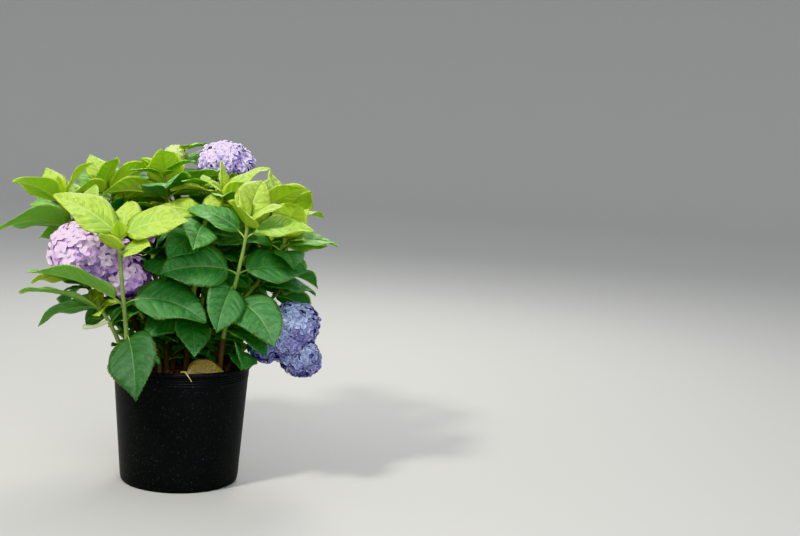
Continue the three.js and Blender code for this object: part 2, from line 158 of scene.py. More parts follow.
# Side veins a side, then as shares of the length: the first one's place, the span of all, half a vein's
# width and its sweep towards the tip, with the power of its curve
VEINS = 6
FIRST_VEIN = 0.045
VEIN_SPAN = 0.8
VEIN_HALF = 0.0026
SWEEP = 0.34
SWEEP_CURVE = 1.45
# Relief as shares of the length: puffed up between the veins, sunk along them and the midrib, pebbled by the
# fine net (as if no longer than PEBBLED), waved, and bent down towards the margin
QUILT = 0.012
GROOVE = 0.003
RIB_SINK = 0.005
PEBBLE = 0.009
PEBBLED = 120
WAVE = 0.028
WAVES = 1.7
WAVE_SHIFT = 0.3
RECURVE = 0.05
RECURVE_POWER = 2.2
# A tooth's depth and slant as shares of the length, and the blade's thickness
TOOTH = 0.025
TOOTH_FORWARD = 0.012
BLADE_THICK = 0.55
# The mesh's columns fan out over this share of the length
FANNED = 0.06
# About a full turn, for chance turns
ROUND = 6.28
# The mesh's columns from the midrib to the margin, and its rows from one vein to the next
FINE = ((0.0, 0.03, 0.18, 0.35, 0.52, 0.69, 0.85, 1.0), (0.2, 0.4, 0.6, 0.8))
COARSE = ((0.0, 0.05, 0.52, 1.0), (0.33, 0.68))
FINE_FROM = 74

UP = np.array([0.0, 0.0, 1.0])


# Seeded draws and small vector helpers

def draw_from(seed):
    """Seeded draws from 0 to 1, the same as in the part's source."""
    state = seed

    def draw():
        nonlocal state
        state = (state * 16807) % 2147483647
        return state / 2147483647
    return draw


def unit(vector):
    vector = np.asarray(vector, float)
    return vector / np.linalg.norm(vector)


def mix(low, high, share):
    return low + (high - low) * share


def level(azimuth):
    """The level direction at an azimuth in degrees."""
    heading = math.radians(azimuth)
    return np.array([math.cos(heading), math.sin(heading), 0])


# Meshes gathered piece by piece

class Heap:
    """Corners, faces and material numbers that are joined into one mesh at the end."""

    def __init__(self):
        self.corners, self.loops, self.sizes, self.slots = [], [], [], []
        self.count = 0

    def add(self, corners, faces, slots):
        """faces has rows of 3 or 4 corner numbers; slots is one number or one for each face."""
        corners = np.asarray(corners, float).reshape(-1, 3)
        self.corners.append(corners)
        self.again(faces, slots, self.count)
        self.count += len(corners)

    def again(self, faces, slots, before):
        """More faces over corners that are there, counted from the corner number before."""
        faces = np.asarray(faces, int)
        self.loops.append((faces + before).ravel())
        self.sizes.append(np.full(len(faces), faces.shape[1]))
        self.slots.append(np.broadcast_to(np.asarray(slots, int), (len(faces),)).copy())

    def mesh(self, name, materials):
        corners, loops, sizes, slots = map(np.concatenate, (self.corners, self.loops, self.sizes, self.slots))
        mesh = bpy.data.meshes.new(name)
        mesh.vertices.add(len(corners))
        mesh.vertices.foreach_set("co", (corners * MM).ravel())
        mesh.loops.add(len(loops))
        mesh.loops.foreach_set("vertex_index", loops)
        mesh.polygons.add(len(sizes))
        mesh.polygons.foreach_set("loop_start", np.concatenate([[0], np.cumsum(sizes)[:-1]]))
        mesh.polygons.foreach_set("loop_total", sizes)
        for material in materials:
            mesh.materials.append(material)
        mesh.polygons.foreach_set("material_index", slots)
        mesh.polygons.foreach_set("use_smooth", np.ones(len(sizes), bool))
        mesh.update(calc_edges=True)
        mesh.validate()
        return mesh


def added(name, data):
    """A new object in the scene."""
    thing = bpy.data.objects.new(name, data)
    bpy.context.scene.collection.objects.link(thing)
    return thing


def piece(name, heap, materials, nodes):
    """One visible piece of the part, riding on its body and standing for the CAD nodes it replaces."""
    thing = added(name, heap.mesh(name, materials))
    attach(thing, "root")
    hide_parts(*nodes)


def round_about(radius, angle, height):
    """Points round the upright axis."""
    return np.stack(np.broadcast_arrays(radius * np.cos(angle), radius * np.sin(angle), height), -1)


def grid_faces(rows, columns, closed=False):
    """Quads over a grid of corners numbered row by row, the last column joined to the first if closed."""
    across = columns if closed else columns - 1
    r, c = np.meshgrid(np.arange(rows - 1), np.arange(across), indexing="ij")
    here = (r * columns + c).ravel()
    beside = (r * columns + (c + 1) % columns).ravel()
    return np.stack([here, beside, beside + columns, here + columns], 1)


# A blunt end's dome: how far out its ring and its top are, and its ring's width, as shares of the radius
DOME_RING = 0.5
DOME_TOP = 0.7
DOME_WIDTH = 0.55


def tube(heap, points, radii, sides, slot, lobed=0.0, blunt=True):
    """A round or lobed tube through points; blunt closes its far end with a small dome."""
    points = np.asarray(points, float)
    radii = np.broadcast_to(np.asarray(radii, float), (len(points),))
    ahead = np.gradient(points, axis=0)
    ahead /= np.linalg.norm(ahead, axis=1)[:, None]
    side = unit(np.cross((0.0, 1.0, 0.13), ahead[0]))
    rings = []
    for point, way, radius in zip(points, ahead, radii):
        side = unit(side - way * np.dot(side, way))
        other = np.cross(way, side)
        angle = 2 * np.pi * np.arange(sides) / sides
        reach = radius * (1 + lobed * np.cos(3 * angle))
        rings.append(point + np.outer(reach * np.cos(angle), side) + np.outer(reach * np.sin(angle), other))
    if blunt:
        rings.append(mix(points[-1] + ahead[-1] * radii[-1] * DOME_RING, rings[-1], DOME_WIDTH))
        rings.append(np.repeat([points[-1] + ahead[-1] * radii[-1] * DOME_TOP], sides, 0))
    heap.add(np.concatenate(rings), grid_faces(len(rings), sides, closed=True), slot)


# Materials

def set_inputs(node, **inputs):
    """Gives a node values for its inputs, named with _ for each space."""
    for name, value in inputs.items():
        node.inputs[name.replace("_", " ")].default_value = value
    return node


def add_node(material, kind, **inputs):
    return set_inputs(material.node_tree.nodes.new("ShaderNode" + kind), **inputs)


def principled(name, colour, roughness, bump=(), bump_strength=0.3, **sockets):
    """A plain-coloured material; bump lists (kind, scale, weight) patterns that are summed for its relief."""
    material = bpy.data.materials.new(name)
    material.use_nodes = True
    links = material.node_tree.links
    shader = set_inputs(material.node_tree.nodes["Principled BSDF"], Base_Color=(*colour, 1),
                        Roughness=roughness, **sockets)
    if not bump:
        return material
    place = add_node(material, "TexCoord").outputs["Object"]
    total = None
    for kind, scale, weight in bump:
        if kind == "cells":
            texture = add_node(material, "TexVoronoi", Scale=scale)
            texture.feature = "DISTANCE_TO_EDGE"
        else:
            texture = add_node(material, "TexNoise", Scale=scale, Detail=4)
        links.new(place, texture.inputs["Vector"])
        scaled = add_node(material, "Math")
        scaled.operation = "MULTIPLY_ADD"
        links.new(texture.outputs["Distance" if kind == "cells" else "Fac"], scaled.inputs[0])
        scaled.inputs[1].default_value = weight
        scaled.inputs[2].default_value = 0
        if total is not None:
            links.new(total, scaled.inputs[2])
        total = scaled.outputs[0]
    relief = add_node(material, "Bump", Strength=bump_strength, Distance=MM)
    links.new(total, relief.inputs["Height"])
    links.new(relief.outputs["Normal"], shader.inputs["Normal"])
    return material


def patterned(name, stops, scale, roughness, stretch=(1, 1, 1), detail=6, **more):
    """A material whose colour runs through stops of (place, colour) over a noise in the object's space."""
    material = principled(name, stops[0][1], roughness, **more)
    links = material.node_tree.links
    place = add_node(material, "TexCoord")
    mapping = add_node(material, "Mapping", Scale=stretch)
    noise = add_node(material, "TexNoise", Scale=scale, Detail=detail, Roughness=0.65)
    ramp = add_node(material, "ValToRGB")
    elements = ramp.color_ramp.elements
    elements[0].position, elements[1].position = stops[0][0], stops[-1][0]
    for share, _ in stops[1:-1]:
        elements.new(share)
    for element, (_, colour) in zip(elements, stops):
        element.color = (*colour, 1)
    links.new(place.outputs["Object"], mapping.inputs["Vector"])
    links.new(mapping.outputs["Vector"], noise.inputs["Vector"])
    links.new(noise.outputs["Fac"], ramp.inputs["Fac"])
    links.new(ramp.outputs["Color"], material.node_tree.nodes["Principled BSDF"].inputs["Base Color"])
    return material


# Blade and vein colours of each tint, from the youngest leaves to the oldest. The older greens are also dealt
# out as painted light and shade: lighter tints for leaves far out in the crown, darker ones for leaves low
# down
LEAF_TINTS = {
    "lemon": ((0.33, 0.45, 0.07), (0.44, 0.54, 0.15)),
    "lime": ((0.26, 0.4, 0.06), (0.36, 0.48, 0.12)),
    "fresh": ((0.15, 0.32, 0.065), (0.26, 0.41, 0.12)),
    "green": ((0.1, 0.26, 0.075), (0.175, 0.33, 0.115)),
    "deep": ((0.062, 0.185, 0.06), (0.115, 0.24, 0.086)),
    "shade": ((0.038, 0.12, 0.038), (0.068, 0.165, 0.052)),
    "spent": ((0.33, 0.255, 0.1), (0.4, 0.33, 0.17)),
}


# Looks of one tint, by their places in the list of materials, and the first look of the next older tint
PALER = 1
PEBBLE_SHADE = 2
VEIN = 3
NEXT_TINT = 4
TINT_SLOTS = {name: NEXT_TINT * i for i, name in enumerate(LEAF_TINTS)}
# How light the plain, paler and darker looks are: the paler look is the underside's own paler colour and
# painted glints on the pebbled top, the darker one painted shade in its pits
SPECKLE_LIGHT = {"leaf": 1.0, "paler": 1.18, "pebble_shade": 0.84}
# The leaf's fine net of veins in relief, and the light that goes through the blade
LEAF_NET = (("cells", 250, 1.0), ("cells", 560, 0.4), ("noise", 900, 0.3))
LEAF_GLOW = dict(Subsurface_Weight=1.0, Subsurface_Radius=(0.9, 1.0, 0.3), Subsurface_Scale=0.0014)
LEAF_PIECES = 4


def leaf_materials():
    made = []
    for name, (blade, vein) in LEAF_TINTS.items():
        # Plain, paler (underside and painted glints) and darker (painted shade) looks of each tint
        for look, light in SPECKLE_LIGHT.items():
            colour = tuple(channel * light for channel in blade)
            made.append(principled(f"{look}_{name}", colour, 0.56, LEAF_NET, 1.0, Specular_IOR_Level=0.4,
                                   **LEAF_GLOW))
        made.append(principled(f"vein_{name}", vein, 0.55, (("noise", 700, 0.3),), 0.2, **LEAF_GLOW))
    return made


# Growth, by the part's own rule

# Single leaves past this share of their shoot's way are as young as a rosette's
YOUNG_SHARE = 0.89
# A leaf stands in the part where one of its corners is this near the leaf's tip
TIP_NEAR = 0.1


def path_points(shoot):
    """The four control points of a shoot's curve."""
    foot = np.array([*shoot["foot"], SOIL_TOP + GAP], float)
    head = np.array(shoot["head"], float)
    out = unit([head[0] - foot[0], head[1] - foot[1], 0])
    lean = math.radians(shoot["lean"])
    aim = out * math.sin(lean) + UP * math.cos(lean)
    far = np.linalg.norm(head - foot)
    rise = foot + UP * (HANDLE * (head[2] - foot[2]) + HANDLE_LIFT * far)
    return np.array([foot, rise, head - aim * HANDLE * far, head])


def along(points, share):
    """Points of the cubic curve at a share or an array of shares."""
    share = np.asarray(share, float)[..., None]
    rest = 1 - share
    return (points[0] * rest ** 3 + 3 * points[1] * rest ** 2 * share
            + 3 * points[2] * rest * share ** 2 + points[3] * share ** 3)


def curve_length(points):
    """The curve's length over the same 200 chords that the part's source takes."""
    steps = along(points, np.arange(201) / 200)
    return np.linalg.norm(np.diff(steps, axis=0), axis=1).sum()


def limb_radius(share):
    return mix(CANE_RADIUS, HEAD_RADIUS, share)


def arc(start, end, length, distance):
    """Reach outwards and upwards along an arc whose pitch goes from one angle to another, in degrees."""
    bend = math.radians((end - start) or 0.01) / length
    angle = math.radians(start) + bend * distance
    out = (np.sin(angle) - math.sin(math.radians(start))) / bend
    rise = (math.cos(math.radians(start)) - np.cos(angle)) / bend
    return out, rise, angle


def outline(share):
    """Half the blade's width at a share of its length, as a share of its greatest half width."""
    share = np.clip(share, 0, 1)
    roundness = mix(BLADE_ROUNDNESS, TIP_ROUNDNESS, share ** TIP_ONSET)
    return np.sin(np.pi * share ** BROADEST).clip(0) ** roundness * (1 - NARROWING * share ** 2)


def midrib(leaf, distance):
    """The midrib's points and the leaf's left and face directions at distances from its root."""
    distance = np.asarray(distance, float)
    stalk_length = PETIOLE * leaf["length"]
    stalk = arc(leaf["rise"], leaf["pitch"], stalk_length, np.minimum(distance, stalk_length))
    blade = arc(leaf["pitch"], leaf["droop"], leaf["length"], np.maximum(distance - stalk_length, 0))
    angle = np.where(distance > stalk_length, blade[2], stalk[2])
    out = level(leaf["azimuth"])
    point = leaf["root"] + (stalk[0] + blade[0])[..., None] * out + (stalk[1] + blade[1])[..., None] * UP
    left = np.cross(UP, out)
    face = -np.sin(angle)[..., None] * out + np.cos(angle)[..., None] * UP
    roll = math.radians(leaf["roll"])
    return (point, math.cos(roll) * left + math.sin(roll) * face,
            math.cos(roll) * face - math.sin(roll) * left)


def leaves_of(shoot, points, seed):
    """Every leaf that a shoot would bear, in the part's order and by its draws."""
    draw = draw_from(seed)
    leaves = []

    def grow(share, azimuth, length, pitch, droop, spread, roll=None, kind="pair"):
        root = along(points, share)
        heading = azimuth + spread * (draw() - 0.5)
        outward = math.degrees(math.atan2(root[1], root[0]))
        leaves.append(dict(
            root=root, azimuth=heading, kind=kind,
            length=length * (1 + LENGTH_SPREAD * (draw() - 0.5) * (1 if spread else 0)),
            rise=min(STALK_STEEPEST, pitch + STALK_STEEPER),
            pitch=pitch + 0.5 * spread * (draw() - 0.5),
            droop=droop + spread * (draw() - 0.5),
            roll=-BANK * math.sin(math.radians(outward - heading)) if roll is None else roll,
            fold=FOLD + FOLD_SPREAD * (draw() - 0.5)))

    for share, azimuth, length, pitch, droop, *roll in shoot.get("leaves", ()):
        kind = "rosette1" if share > YOUNG_SHARE else "pair"
        grow(share, azimuth, length, pitch, droop, 0, *roll, kind=kind)
    pairs = shoot.get("pairs", ())
    for i, share in enumerate(pairs):
        pitch = PAIR_PITCH[0] + PAIR_PITCH[1] * share
        droop = PAIR_DROOP[0] + PAIR_DROOP[1] * share
        for half in (0, 180):
            grow(share, shoot["turn"] + 90 * i + half, shoot["leaf_length"], pitch, droop, PAIR_SPREAD)
    if "rosette" in shoot:
        stretch = curve_length(points)
        for i, (size, pitch, droop) in enumerate(ROSETTE):
            share = 1 - ((len(ROSETTE) - 1 - i) * ROSETTE_STEP + ROSETTE_TOP) / stretch
            for half in (0, 180):
                heading = shoot["turn"] + 90 * (len(pairs) + i) + half
                grow(share, heading, shoot["rosette"] * size, pitch, droop, ROSETTE_SPREAD,
                     kind=f"rosette{i}")
    return leaves


def retried(leaf, again):
    tilt = TRY_TILT * math.sin(TRY_RHYTHM * again)
    return dict(leaf, azimuth=leaf["azimuth"] + TRY_TURN * again * (-1) ** again, pitch=leaf["pitch"] + tilt,
                droop=leaf["droop"] + tilt, length=leaf["length"] * (1 - TRY_SHRINK * again))


def standing(leaf, corners):
    """The try at which this leaf stands in the part, known by its tip among the node's corners, or None."""
    for again in range(TRIES):
        tried = retried(leaf, again)
        tip = midrib(tried, (1 + PETIOLE) * tried["length"])[0]
        if np.abs(corners - tip).sum(1).min() < TIP_NEAR:
            return tried
    return None


# Leaves

def blade_rows(between):
    """Rows of a blade's mesh along the midrib: the share of the length, how far the row is puffed up
    between the veins, and its tooth."""
    rows = [(0.0, 0.0, 0.0)]
    veins = [FIRST_VEIN + VEIN_SPAN * i / (VEINS - 1) for i in range(VEINS)]
    for vein, following in zip(veins, veins[1:] + [1.0]):
        rows += [(vein - VEIN_HALF, 0.0, 1.0), (vein + VEIN_HALF, 0.0, 0.0)]
        for i, part in enumerate(between):
            rows.append((vein + (following - vein) * part, math.sin(math.pi * part) ** 0.6, (i + 1) % 2))
    return np.array(rows)


MESHES = {"fine": (FINE[0], blade_rows(FINE[1])), "coarse": (COARSE[0], blade_rows(COARSE[1]))}


def speckle(rows, columns, phase):
    """A grid of values from 0 to 1 without any order, the same each time for the same phase."""
    r, c = np.meshgrid(np.arange(rows), np.arange(columns), indexing="ij")
    return np.modf(np.abs(np.sin(12.9898 * r + 78.233 * c + phase)) * 43758.5453)[0]


# The share of a blade's faces that are paler, and darker, at random, as painted glints and painted shade on
# the pebbled surface, then the kinds of leaf with a greener heart, painted shade, which fades along the leaf
# and towards the margin and ends raggedly
SPECKLED_SHARE = 0.3
YOUNG = ("rosette0", "rosette1", "tuft")
SHADE_HEART = 0.4
SHADE_HEART_RAGGED = 0.14
SHADE_HEART_FADES = 0.8


def face_looks(leaf, share, u, phase):
    """Which look of its tint each face of a blade has: paler and darker at random as painted glints and shade
    of the pebbled surface, and greener at a young leaf's heart as painted shade.
    """
    chance = speckle(share.shape[0] - 1, share.shape[1] - 1, phase + 2.1)
    # Paler and darker faces at random, as painted glints and painted shade of the pebbled surface
    looks = np.where(chance > 1 - SPECKLED_SHARE, PALER, np.where(chance < SPECKLED_SHARE, PEBBLE_SHADE, 0))
    if leaf["kind"] in YOUNG:
        # A young leaf's greener heart is painted shade
        shade_heart = ((1 - share) * (1 - SHADE_HEART_FADES * u))[:-1, :-1]
        looks = np.where(shade_heart > SHADE_HEART + SHADE_HEART_RAGGED * chance, NEXT_TINT, looks)
    return looks


def add_blade(heap, leaf, draw, slot):
    """A toothed blade: rows follow the side veins, and both faces meet at the margin."""
    length = leaf["length"]
    places, table = MESHES["fine" if length > FINE_FROM else "coarse"]
    start, quilt, teeth = (table[:, k][:, None] for k in range(3))
    lateral = np.array([-u for u in places[:0:-1]] + list(places))[None, :]
    u, sign = np.abs(lateral), np.sign(lateral)
    share = start + SWEEP * (1 - start) * u ** SWEEP_CURVE
    tooth = np.where(u == 1, teeth, 0.0) * np.sin(np.pi * share.clip(0, 1)).clip(0) ** 0.4
    share = share + TOOTH_FORWARD * tooth
    half = (HALF_WIDTH * outline(share) + TOOTH * tooth) * length
    spread = np.where(start > 0, u ** np.clip(start / FANNED, 0.02, 1), 1.0)
    reach = half * spread * sign
    rows, columns = reach.shape
    fold = math.radians(leaf["fold"])
    phase = draw() * ROUND
    wave = WAVE * length * u ** 2 * np.sin(2 * np.pi * (WAVES * share + WAVE_SHIFT * sign) + phase)
    curl = RECURVE * length * (np.abs(reach) / (HALF_WIDTH * length)) ** RECURVE_POWER
    net = quilt * (speckle(rows, columns, phase) - 0.5) * (u < 1)
    puff = length * (QUILT * quilt - GROOVE * (1 - quilt)) * np.sin(np.pi * spread.clip(0, 1)) ** 0.8
    puff = puff + min(length, PEBBLED) * PEBBLE * net
    raised = np.abs(reach) * math.sin(fold) - curl + wave + puff
    raised = np.where(u == 0, raised - RIB_SINK * length, raised)
    point, left, face = midrib(leaf, (PETIOLE + share) * length)
    top = point + (reach * math.cos(fold))[..., None] * left + raised[..., None] * face
    closed = np.broadcast_to((u == 1) | (start == 0), reach.shape)
    thin = face * np.where(closed, 0.0, BLADE_THICK)[..., None] / 2
    tip = midrib(leaf, (PETIOLE + 1) * length)[0]
    corners = np.concatenate([(top + thin).reshape(-1, 3), (top - thin).reshape(-1, 3), [tip]])
    looks = face_looks(leaf, share, u, phase)
    looks[1::rows // VEINS] = VEIN
    looks[:, columns // 2 - 1:columns // 2 + 1] = VEIN
    quads = grid_faces(rows, columns)
    above = np.arange(reach.size).reshape(reach.shape)
    below = np.where(closed, above, above + reach.size)
    before = heap.count
    heap.add(corners, quads[:, [0, 3, 2, 1]], slot + looks.ravel())
    heap.again(below.ravel()[quads], slot + np.where(looks == VEIN, VEIN, PALER).ravel(), before)
    last = np.full(columns - 1, 2 * reach.size)
    heap.again(np.stack([above[-1, :-1], last, above[-1, 1:]], -1), slot, before)
    heap.again(np.stack([below[-1, 1:], last, below[-1, :-1]], -1), slot, before)


# A full leaf's stalk: radius at the axil, just above it, at the blade and at the end of the rib under the
# blade, and that end's share of the blade's length
STALK_RADII = (2.7, 1.9, 1.55, 0.3)
STALK_SWELLS = 4
RIB_END = 0.86
FULL_LENGTH = 140


def add_stalk(heap, leaf, slot):
    """The petiole and the rib that it goes on as under the blade."""
    stalk = PETIOLE * leaf["length"]
    far = stalk + RIB_END * leaf["length"]
    bends, rib_bends, sides = (5, 11, 7) if leaf["length"] > FINE_FROM else (4, 6, 5)
    distance = np.concatenate([np.linspace(0, stalk, bends), np.linspace(stalk, far, rib_bends)[1:]])
    point, _, face = midrib(leaf, distance)
    stout = 0.55 + 0.45 * leaf["length"] / FULL_LENGTH
    radius = np.interp(distance, [0, STALK_SWELLS, stalk, far], STALK_RADII) * stout
    drop = np.interp(distance, [0, stalk, stalk + 6, far], [0, 0.3, 0.9, 0.35]) * stout
    sunk = np.interp(distance, [stalk, far], [0.2, 0.6])
    tube(heap, point - face * (drop * radius)[:, None] - face * sunk[:, None], radius, sides, slot)


# A bud's length, its outline and how far it stands out from the axil
BUD_LENGTH = 3.2
BUD_OUTLINE = ((0, 0.7), (0.3, 1.0), (0.65, 0.7), (1.0, 0.1))
BUD_OUT = 2.6
BUD_UP = 1.5


def add_bud(heap, root, azimuth, size, slot):
    """The pointed bud in a leaf's axil."""
    out = level(azimuth)
    base = root + out * BUD_OUT + UP * BUD_UP
    shares, radii = np.array(BUD_OUTLINE).T
    tube(heap, base + np.outer(shares, unit(0.5 * out + UP)) * size * BUD_LENGTH, radii * size, 6, slot,
         blunt=False)


# The crown's middle and reach, for how far out a leaf stands, and the height below which leaves get darker
# and darker tints, as painted shade
CROWN_MIDDLE = (0, 30, 330)
CROWN_REACH = (310, 300, 310)
SHADED_BELOW = 350
SHADED_BY = 1.2
LIGHT_SPREAD = 0.28
# The tint of an old leaf with more painted light than this. The others get a painted-shade tint, but nearer
# the crown's middle than INNER they are painted a step lighter, for the light that comes through the leaves
# round them
LIGHT_TINTS = ((0.86, "fresh"), (0.8, "green"), (0.5, "deep"))
INNER = 0.6
# A tuft with more painted light than this is painted lime
TUFT_LIGHT = 0.7
# A rosette's tints by pair, outer ones first, each up to its chance; leaves this short have just opened
ROSETTE_TINTS = {
    "rosette0": ((0.12, "green"), (0.4, "fresh"), (0.75, "lime"), (1, "lemon")),
    "rosette1": ((0.55, "lemon"), (0.8, "lime"), (1, "lemon")),
    "rosette2": ((0.7, "lemon"), (1, "lime")),
}
JUST_OPENED = 62


def tint_of(leaf, draw):
    """A leaf's tint by its age, and by painted light and shade: lighter the further out in the crown it
    stands, darker the lower down.
    """
    chance = draw()
    if leaf["kind"] in ROSETTE_TINTS:
        if leaf["length"] < JUST_OPENED:
            return "lemon"
        return next(tint for limit, tint in ROSETTE_TINTS[leaf["kind"]] if chance < limit)
    middle = midrib(leaf, 0.6 * leaf["length"])[0]
    depth = np.linalg.norm((middle - CROWN_MIDDLE) / CROWN_REACH)
    # Painted light and shade: the tint is lighter far out in the crown and darker low down
    light = depth + LIGHT_SPREAD * (chance - 0.5) - SHADED_BY * max(0, 1 - middle[2] / SHADED_BELOW)
    if leaf["kind"] == "tuft" and light > TUFT_LIGHT:
        return "lime"
    dark = "deep" if depth < INNER else "shade"
    return next((tint for limit, tint in LIGHT_TINTS if light > limit), dark)


# Room for more leaves: how far they stay clear of others, of the pot's lip and of the soil

CLEARANCE = 1.5
LIP_CLEARANCE = 4
SOIL_CLEARANCE = 6
# Where a blade's coarse shape has corners
STATIONS = np.array([0.0, 0.14, 0.35, 0.6, 0.85])


def skeleton(leaf):
    """A coarse blade and stalk of a leaf: corners and triangles."""
    length, fold = leaf["length"], math.radians(leaf["fold"])
    point, left, face = midrib(leaf, (PETIOLE + STATIONS) * length)
    half = (HALF_WIDTH * outline(STATIONS) * length + CLEARANCE)[:, None]
    raised = face * half * math.sin(fold)
    corners = np.concatenate([point + left * half * math.cos(fold) + raised, point,
                              point - left * half * math.cos(fold) + raised,
                              midrib(leaf, (PETIOLE + 1) * length)[0][None]])
    count = len(STATIONS)
    faces = []
    for k in range(count - 1):
        for side in (0, count):
            a, b = side + k, side + count + k
            faces += [(a, a + 1, b + 1), (a, b + 1, b)]
    faces += [(count - 1, 3 * count, 2 * count - 1), (2 * count - 1, 3 * count, 3 * count - 1)]
    return corners, faces


def extent(corners):
    """The middle of a shape's box and half the box's diagonal."""
    low, high = corners.min(0), corners.max(0)
    return (low + high) / 2, np.linalg.norm(high - low) / 2


def tree_of(corners, faces):
    return BVHTree.FromPolygons([tuple(corner) for corner in corners], faces)


class Room:
    """What already stands in the crown, so that a new leaf can be kept clear of it."""

    def __init__(self):
        self.trees, self.centres, self.reaches, self.balls = [], [], [], []

    def take(self, corners, faces):
        centre, reach = extent(corners)
        self.trees.append(tree_of(corners, faces))
        self.centres.append(centre)
        self.reaches.append(reach)

    def take_limb(self, points, radius):
        """A limb is taken piece by piece, as three-sided sleeves."""
        turn = 2 * np.pi * np.arange(3) / 3
        for a, b in zip(points[:-1], points[1:]):
            ahead = unit(b - a)
            side = unit(np.cross(ahead, (0.3, 1.0, 0.2)))
            ring = radius * (np.outer(np.cos(turn), side) + np.outer(np.sin(turn), np.cross(ahead, side)))
            faces = [(k, (k + 1) % 3, (k + 1) % 3 + 3, k + 3) for k in range(3)]
            self.take(np.concatenate([a + ring, b + ring]), faces)

    def free(self, corners, faces):
        """Whether a shape is clear of all that stands and inside the part's box."""
        for centre, radius in self.balls:
            if np.linalg.norm((corners - centre) / (1, 1, BLOOM_FLAT), axis=1).min() < radius + CLEARANCE:
                return False
        around, height = np.hypot(corners[:, 0], corners[:, 1]), corners[:, 2]
        at_lip = (around < LIP_RADIUS + LIP_CLEARANCE) & (around > inner_radius(POT_HEIGHT) - LIP_CLEARANCE)
        lip = at_lip & (height < POT_HEIGHT + 3)
        mix_top = (around < LIP_RADIUS) & (height < SOIL_TOP + SOIL_CLEARANCE)
        if lip.any() or mix_top.any():
            return False
        if (corners < ROOM_LOW).any() or (corners > ROOM_HIGH).any():
            return False
        centre, reach = extent(corners)
        close = np.linalg.norm(np.array(self.centres) - centre, axis=1) < np.array(self.reaches) + reach
        tree = tree_of(corners, faces)
        return not any(tree.overlap(self.trees[k]) for k in np.flatnonzero(close))


ROOM_LOW, ROOM_HIGH = (np.array(corner) / MM for corner in cad_box)


def first_free(leaf, tries, room):
    """The first try at which a leaf is clear of all that stands; it then stands too."""
    for again in range(tries):
        tried = retried(leaf, again)
        shape = skeleton(tried)
        if room.free(*shape):
            room.take(*shape)
            return tried
    return None


def small_leaf(root, azimuth, length, rise, pitch, droop, roll, kind, draw):
    """A leaf of a side twig or a low node; roll is the spread of its drawn roll."""
    return dict(root=root, azimuth=azimuth, length=length, rise=rise, pitch=pitch, droop=droop, kind=kind,
                roll=roll * (draw() - 0.5), fold=FOLD + FOLD_SPREAD * (draw() - 0.5))


# Old shaded leaves on the canes below the leafy stems, kept over the pot: heights of their nodes, lengths,
# and how far from the middle a tip may reach
LOW_NODES = (236, 258, 280, 302, 326)
LOW_LENGTH = (56, 96)
LOW_REACH = 150
LOW_SEED = 60013


def low_leaves(shoots, room):
    """Opposite shade leaves from the canes' lower nodes, where there is room."""
    draw = draw_from(LOW_SEED)
    found = []
    for shoot in shoots:
        curve = along(path_points(shoot), np.linspace(0, 1, 81))
        turn = 360 * draw()
        for i, height in enumerate(LOW_NODES):
            root = curve[np.abs(curve[:, 2] - height - 16 * draw()).argmin()]
            for half in (0, 180):
                heading = turn + 90 * i + half + 30 * (draw() - 0.5)
                tilt = 20 * (draw() - 0.5)
                length = mix(*LOW_LENGTH, draw())
                leaf = small_leaf(root, heading, length, 50 + tilt, 16 + tilt, tilt - 30, 16, "low", draw)
                tip = midrib(leaf, leaf["length"])[0]
                if math.hypot(tip[0], tip[1]) > LOW_REACH:
                    continue
                stand = first_free(leaf, TRIES, room)
                if stand is not None:
                    found.append(stand)
    return found


# Side twigs from the leaves' axils, which fill the crown out: length, steepness and radius, then their leaf
# pairs' shares of the way, lengths and pitches
TWIG_LENGTH = (20, 58)
TWIG_STEEP = (38, 66)
TWIG_RADIUS = 1.7
TWIG_PAIRS = ((0.62, 78, 2, -34), (1.0, 60, 26, -12), (1.0, 36, 54, 22))
TWIG_TRIES = 9
TWIG_SEED = 330017
TWIG_BENDS = 7
TWIG_UPTURN = 0.22


def twig_leaves(way, draw, vigour):
    """The leaf pairs of one side twig along the line of points that it follows."""
    for i, (share, length, pitch, droop) in enumerate(TWIG_PAIRS):
        root = way[int(round(share * (len(way) - 1)))]
        size = length * (0.8 + 0.4 * draw()) * mix(0.8, 1.1, vigour)
        heading = draw() * 30 + 90 * i
        for half in (90, 270):
            tilt = 16 * (draw() - 0.5)
            rise = min(STALK_STEEPEST, pitch + STALK_STEEPER)
            yield small_leaf(root, heading + half, size, rise, pitch + tilt, droop + tilt, 20,
                             "twig" if i < 2 else "tuft", draw)


def side_twigs(axils, room):
    """Twigs from the leaves' axils: the way that each follows, and those of its leaves that find room."""
    draw = draw_from(TWIG_SEED)
    found = []
    shares = np.linspace(0, 1, TWIG_BENDS)[:, None]
    for axil in axils:
        vigour = draw()
        length = mix(*TWIG_LENGTH, vigour)
        steep = math.radians(mix(*TWIG_STEEP, draw()))
        out = level(axil["azimuth"] + 50 * (draw() - 0.5))
        ahead = out * math.cos(steep) + UP * math.sin(steep)
        way = axil["root"] + ahead * length * shares + UP * length * TWIG_UPTURN * shares ** 2
        tried = (first_free(leaf, TWIG_TRIES, room) for leaf in twig_leaves(way, draw, vigour))
        kept = [leaf for leaf in tried if leaf is not None]
        if kept:
            found.append((way, kept))
    return found


# Blooms

def fibonacci(count):
    """Evenly spread directions."""
    i = np.arange(count) + 0.5
    polar = np.arccos(1 - 2 * i / count)
    turn = np.pi * (1 + 5 ** 0.5) * i
    return round_about(np.sin(polar), turn, np.cos(polar))


# Lobes run into each other over this distance; florets are no nearer than this share of their spacing
LOBE_BLEND = 24
NEAREST = 0.62


